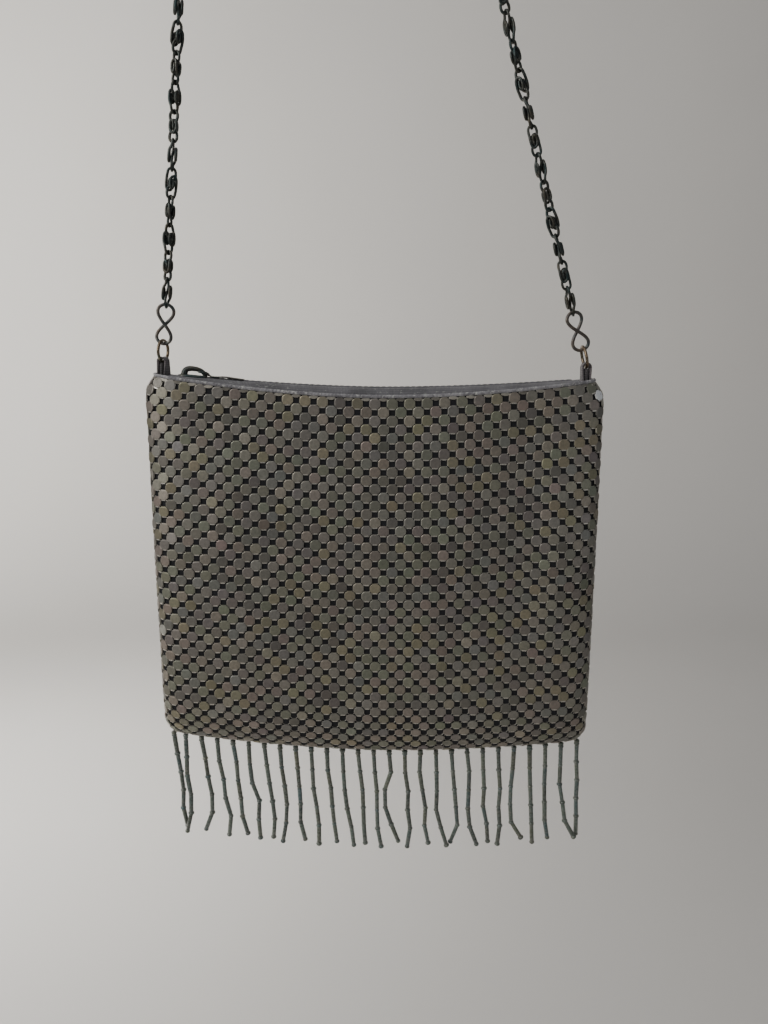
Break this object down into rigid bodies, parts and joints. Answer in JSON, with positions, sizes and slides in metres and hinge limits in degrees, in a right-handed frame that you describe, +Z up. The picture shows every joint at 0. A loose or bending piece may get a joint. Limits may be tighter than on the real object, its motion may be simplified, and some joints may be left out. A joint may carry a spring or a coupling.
{
  "type": "metal mesh purse",
  "caption": "Small flat evening purse of linked metal plates with a zip across the mouth, a chain strap and a fringe of bead strands, hanging by its strap.",
  "frame": {"origin": "inside of the strap loop at its top, where a hook carries it", "axes": "+Z up along the hanging strap, +X to the right as seen from the front, front of the purse towards -Y"},
  "size_m": [0.2001, 0.0264, 0.6816],
  "materials": {
    "mesh_plates": "aged satin metal plates, taupe to olive, with brighter worn rims",
    "lining_cloth": "matt near-black lining cloth",
    "zip_tape": "grey woven tape",
    "piping_satin": "pale lilac-grey satin edge",
    "gunmetal": "dark gunmetal, semi-gloss",
    "aged_brass": "aged brass",
    "ribbon": "grey grosgrain ribbon",
    "bead_glass": "dark grey-green glossy glass"
  },
  "bodies": {
    "purse": {"mesh_body": "mesh_plates", "lining": "lining_cloth", "zip_tape_front": "zip_tape", "zip_tape_back": "zip_tape", "zip_coil": "gunmetal", "piping_front": "piping_satin", "piping_back": "piping_satin", "zip_slider": "gunmetal", "tab_left": "ribbon", "tab_right": "ribbon", "jump_ring_left": "aged_brass", "jump_ring_right": "aged_brass", "figure_eight_left": "gunmetal", "figure_eight_right": "gunmetal", "chain_left_lower": "gunmetal", "chain_left_upper": "gunmetal", "chain_top": "gunmetal", "chain_right_upper": "gunmetal", "chain_right_lower": "gunmetal", "fringe_strand_01": "bead_glass", "fringe_strand_02": "bead_glass", "fringe_strand_03": "bead_glass", "fringe_strand_04": "bead_glass", "fringe_strand_05": "bead_glass", "fringe_strand_06": "bead_glass", "fringe_strand_07": "bead_glass", "fringe_strand_08": "bead_glass", "fringe_strand_09": "bead_glass", "fringe_strand_10": "bead_glass", "fringe_strand_11": "bead_glass", "fringe_strand_12": "bead_glass", "fringe_strand_13": "bead_glass", "fringe_strand_14": "bead_glass", "fringe_strand_15": "bead_glass", "fringe_strand_16": "bead_glass", "fringe_strand_17": "bead_glass", "fringe_strand_18": "bead_glass", "fringe_strand_19": "bead_glass", "fringe_strand_20": "bead_glass", "fringe_strand_21": "bead_glass", "fringe_strand_22": "bead_glass", "fringe_strand_23": "bead_glass", "fringe_strand_24": "bead_glass", "fringe_strand_25": "bead_glass", "fringe_strand_26": "bead_glass", "fringe_strand_27": "bead_glass"},
    "pull": {"zip_pull": "gunmetal"}
  },
  "joints": [
    {"name": "zip_pull_swing", "type": "hinge", "parent": "purse", "child": "pull", "pos_m": [-0.03693, 0, -0.44606], "axis": [0, -1, 0], "range_deg": [0, 110]}
  ]
}
